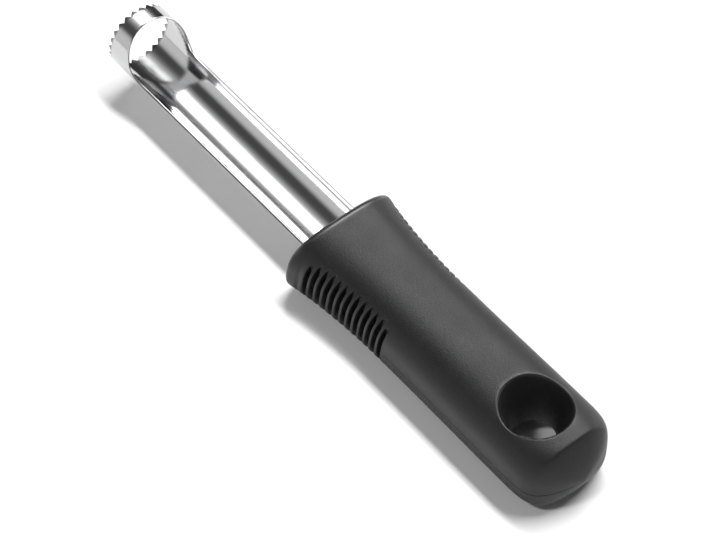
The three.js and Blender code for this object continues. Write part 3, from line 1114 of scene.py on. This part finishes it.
        mouth = Bench.add_sheet("mouth_cutter", 2, columns)
        Bench.roll(mouth, 2, columns, mouth_place, closed=False)
        depth = self.blade.sheet + 2 * self.fit_gap
        Bench.modify(mouth, "SOLIDIFY", thickness=depth * MM, offset=-1.0, use_even_offset=True)
        Bench.cut(grip, mouth)

    def press_parting_line(self, grip: Piece) -> None:
        """Presses the thin line where the mould's halves met into the sides and the butt."""
        for vertex in grip.data.vertices:
            x, _, z = self.frame.local(vertex.co)
            line = self.parting_height * self.section(-x)[2] / self.half_thickness
            if abs(z - line) < self.same_height and x < -self.slots_end():
                vertex.co = vertex.co - vertex.normal * self.parting_depth * MM

    def mark_worn_edges(self, grip: Piece) -> None:
        """Marks the front edge and the hang hole's upper lip, which wear to a shine, in an attribute."""
        middle = self.hole_from_butt - self.length
        edge_end = self.front_round + self.worn_width
        worn = []
        for vertex in grip.data.vertices:
            x, y, z = self.frame.local(vertex.co)
            behind = -x - self.front_lean * z
            front = smooth_step(behind, *self.worn_from) * smooth_step(behind, edge_end, self.front_round)
            front = front * smooth_step(z, self.worn_low, self.worn_high)
            lip = 0.0
            if z > 0 and abs(x - middle) < 2 * self.hole_rim_radius:
                below = self.surface_height(x, y, Side.TOP) - z
                beyond = math.hypot(x - middle, y) - self.hole_radius(z)
                lip = smooth_step(max(below, beyond), self.worn_width, self.worn_width / 2)
            worn.append(max(front, self.lip_share * lip))
        mark = grip.data.attributes.new(self.finish.worn_mark, "FLOAT", "POINT")
        mark.data.foreach_set("value", worn)

    def build(self) -> Piece:
        """Shapes the grip's skin, cuts its openings and returns it."""
        rows, columns = len(self.stations), len(self.turns)
        grip = Bench.add_sheet(self.name, rows, columns)
        Bench.roll(grip, rows, columns, self.place, closed=True)
        self.press_parting_line(grip)
        self.cut_hang_hole(grip)
        self.hollow_out(grip)
        self.mark_worn_edges(grip)
        Bench.smooth(grip, self.smooth_angle)
        return grip

    def dress(self, grip: Piece) -> None:
        """Gives the grip its finish and its place in the frame."""
        self.finish.dress(grip)
        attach(grip, "root")
        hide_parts(Node.GRIP.value)


@dataclass
class HandleCore:
    """The rigid core inside the grip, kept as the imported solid."""

    finish: Finish = field(default_factory=MouldedPlastic)

    def dress(self, core: Piece) -> None:
        """Gives the core its finish."""
        self.finish.dress(core)


@dataclass(frozen=True)
class PhotoCamera:
    """The camera that took the photograph, found from the ring and the trough's edges."""

    image_width: int = 716
    image_height: int = 540
    focal_pixels: float = 3500.0
    sensor_width: float = 36.0
    elevation: float = 52.88
    heading: float = 39.24
    mark: Point = (0.1012, 0.0, 0.0181)
    mark_pixel: tuple[float, float] = (137.18, 32.89)
    mark_depth: float = 1.0467

    def build(self) -> Piece:
        """Adds the camera, makes it the scene's own and returns it."""
        tilt, swing = math.radians(self.elevation), math.radians(self.heading)
        ahead = Vector((math.cos(tilt) * math.cos(swing), -math.cos(tilt) * math.sin(swing), -math.sin(tilt)))
        right = Vector((-math.sin(swing), -math.cos(swing), 0.0))
        upward = right.cross(ahead)
        across = (self.mark_pixel[0] - self.image_width / 2) / self.focal_pixels
        down = (self.mark_pixel[1] - self.image_height / 2) / self.focal_pixels
        eye = Vector(self.mark) - self.mark_depth * (ahead + across * right - down * upward)
        Bench.clear()
        bpy.ops.object.camera_add()
        camera = bpy.context.object
        camera.name = "photo_camera"
        camera.data.sensor_fit = "HORIZONTAL"
        camera.data.sensor_width = self.sensor_width
        camera.data.lens = self.focal_pixels * self.sensor_width / self.image_width
        axes = Matrix((right, upward, -ahead)).transposed()
        camera.matrix_world = Matrix.Translation(eye) @ axes.to_4x4()
        bpy.context.scene.camera = camera
        return camera


@dataclass(frozen=True)
class SoftLamp:
    """A soft lamp that points at the tool."""

    name: str
    toward: Point
    distance: float
    length: float
    width: float
    power: float

    def build(self) -> Piece:
        """Adds the lamp and returns it."""
        Bench.clear()
        direction = Vector(self.toward).normalized()
        bpy.ops.object.light_add(type="AREA", location=direction * self.distance)
        lamp = bpy.context.object
        lamp.name = self.name
        lamp.data.shape = "RECTANGLE"
        lamp.data.size = self.length
        lamp.data.size_y = self.width
        lamp.data.energy = self.power
        lamp.rotation_euler = direction.to_track_quat("Z", "Y").to_euler()
        lamp.visible_glossy = False
        return lamp


@dataclass(frozen=True)
class LightBand:
    """A band of light round the tool, as metal mirrors it.

    Attributes:
        across: Shares of the level by the turn round the tool's length, from straight up to the far side.
        ends: Shares of the level by how far a direction points along the tool.
        level: The brightness where both shares are 1.
        lean: Degrees by which the band turns to the near side for each unit along the tool past lean_from.
        lean_from: Where along the tool the band starts to lean.
    """

    across: Stops
    ends: Stops
    level: float
    lean: float = 0.0
    lean_from: float = 0.5


@dataclass(frozen=True)
class StudioWorld:
    """The studio round the table: white to the camera, and banded where metal mirrors it.

    The walls are turns round the tool's length, from straight up towards the far side, with their brightness.
    """

    fill: float = 0.07
    walls: Stops = (
        (-180.0, 0.9), (-95.0, 0.88), (-88.0, 0.84), (-80.0, 0.88), (-66.0, 0.88), (-58.0, 0.76),
        (-52.0, 0.54), (-47.0, 0.22), (-42.0, 0.11), (-32.0, 0.095), (-22.0, 0.12), (-12.0, 0.22),
        (-4.0, 0.26), (4.0, 0.1), (56.0, 0.06), (90.0, 0.05), (96.0, 0.2), (108.0, 0.5), (180.0, 0.9),
    )
    softbox: LightBand = LightBand(
        across=(
            (-180.0, 0.0), (-16.0, 0.0), (-10.0, 0.008), (-4.0, 0.018), (2.0, 0.04), (7.0, 0.09), (12.0, 0.2),
            (18.0, 0.46), (24.0, 0.8), (30.0, 1.0), (37.0, 1.0), (42.0, 0.55), (46.0, 0.2), (50.0, 0.1),
            (56.0, 0.045), (61.0, 0.024), (67.0, 0.01), (75.0, 0.0), (180.0, 0.0),
        ),
        ends=(
            (-1.0, 0.0), (-0.15, 0.0), (0.38, 1.0), (0.553, 1.0), (0.572, 0.1), (0.59, 0.055), (0.66, 0.04),
            (0.73, 0.0), (1.0, 0.0),
        ),
        level=15.0, lean=190.0,
    )
    far_wall: LightBand = LightBand(
        across=((-180.0, 0.0), (56.0, 0.0), (70.0, 1.0), (92.0, 1.0), (100.0, 0.0), (180.0, 0.0)),
        ends=((-1.0, 0.0), (-0.2, 1.0), (0.4, 1.0), (0.45, 0.33), (0.475, 0.0), (1.0, 0.0)),
        level=3.0,
    )

    def build(self) -> None:
        """Sets the scene's world."""
        world = bpy.data.worlds.new("studio")
        bpy.context.scene.world = world
        world.use_nodes = True
        desk = NodeDesk(world.node_tree)
        ray = desk.add("LightPath")
        way = desk.add("SeparateXYZ", Vector=desk.add("TexCoord").outputs["Generated"])
        far = desk.math("MULTIPLY", way.outputs["Y"], -1.0)
        turn = desk.math("MULTIPLY", desk.math("ARCTAN2", far, way.outputs["Z"]), 180.0 / math.pi)
        glow = self.grade(desk, turn, self.walls)
        for band in (self.softbox, self.far_wall):
            glow = self.add_band(desk, band, turn, way.outputs["X"], glow)
        soft, mirrored, white = (
            desk.add("Background", Color=WHITE, Strength=strength).outputs["Background"]
            for strength in (self.fill, glow, 1.0)
        )
        lit = desk.fill(desk.add("MixShader"), ray.outputs["Is Glossy Ray"], soft, mirrored)
        shown = desk.fill(desk.add("MixShader"), ray.outputs["Is Camera Ray"], lit, white)
        desk.add("OutputWorld", Surface=shown)

    @classmethod
    def add_band(
        cls, desk: NodeDesk, band: LightBand, turn: Socket, along: Socket,
        base: Socket,
    ) -> Socket:
        """Adds a band of light to a brightness.

        Args:
            desk: Where the nodes go.
            band: The band.
            turn: The direction's turn round the tool's length.
            along: How far the direction points along the tool.
            base: The brightness so far.

        Returns:
            The socket of the brightness with the band.
        """
        past = desk.math("MAXIMUM", desk.math("SUBTRACT", along, band.lean_from), 0.0)
        across = cls.grade(desk, desk.math("MULTIPLY_ADD", past, band.lean, turn), band.across)
        share = desk.math("MULTIPLY", across, cls.grade(desk, along, band.ends))
        return desk.math("MULTIPLY_ADD", share, band.level, base)

    @staticmethod
    def grade(
        desk: NodeDesk, value: Socket, stops: Stops
    ) -> Socket:
        """Adds a ramp over a value.

        Args:
            desk: Where the nodes go.
            value: What the ramp reads.
            stops: Pairs of a value and a level from 0 to 1, in order.

        Returns:
            The socket of the level.
        """
        low, high = stops[0][0], stops[-1][0]
        ramp = desk.add("ValToRGB", Fac=desk.span(value, low, high, 0.0, 1.0))
        marks = ramp.color_ramp.elements
        while len(marks) < len(stops):
            marks.new(0.5)
        for mark, (place, level) in zip(marks, stops):
            mark.position = (place - low) / (high - low)
            mark.color = (level, level, level, 1.0)
        return ramp.outputs["Color"]


@dataclass
class Studio:
    """The table, the light and the camera."""

    table_size: float = 6.0
    table_finish: Finish = field(default_factory=WhiteTable)
    camera: PhotoCamera = field(default_factory=PhotoCamera)
    world: StudioWorld = field(default_factory=StudioWorld)
    lamps: tuple[SoftLamp, ...] = (
        SoftLamp("key_lamp", toward=(0.0, -0.265, 0.964), distance=6.0, length=4.0, width=0.9, power=435.0),
        SoftLamp("fill_lamp", toward=(-0.03, 0.53, 0.847), distance=1.5, length=0.2, width=0.16, power=6.3),
    )

    def build(self) -> None:
        """Builds the stage and sets the view transform."""
        Bench.clear()
        bpy.ops.mesh.primitive_plane_add(size=self.table_size)
        table = bpy.context.object
        table.name = "table"
        self.table_finish.dress(table)
        self.world.build()
        for lamp in self.lamps:
            lamp.build()
        self.camera.build()
        bpy.context.scene.view_settings.view_transform = "Standard"


def main() -> None:
    """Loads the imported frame, builds each piece on it and sets the stage."""
    logging.basicConfig(level=logging.INFO, format="%(name)s: %(message)s")
    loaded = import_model()
    frame = HandleFrame()

    blade_maker = CorerBlade(frame)
    blade = blade_maker.build()
    blade_maker.dress(blade)
    LOG.info("%s: %d faces", blade.name, len(blade.data.polygons))

    grip_maker = MouldedGrip(frame, blade_maker)
    grip = grip_maker.build()
    grip_maker.dress(grip)
    LOG.info("%s: %d faces", grip.name, len(grip.data.polygons))

    core = loaded["nodes"][Node.CORE.value]
    HandleCore().dress(core)
    LOG.info("%s: dressed", core.name)

    Studio().build()
    Bench.clear()


if __name__ == "__main__":
    main()
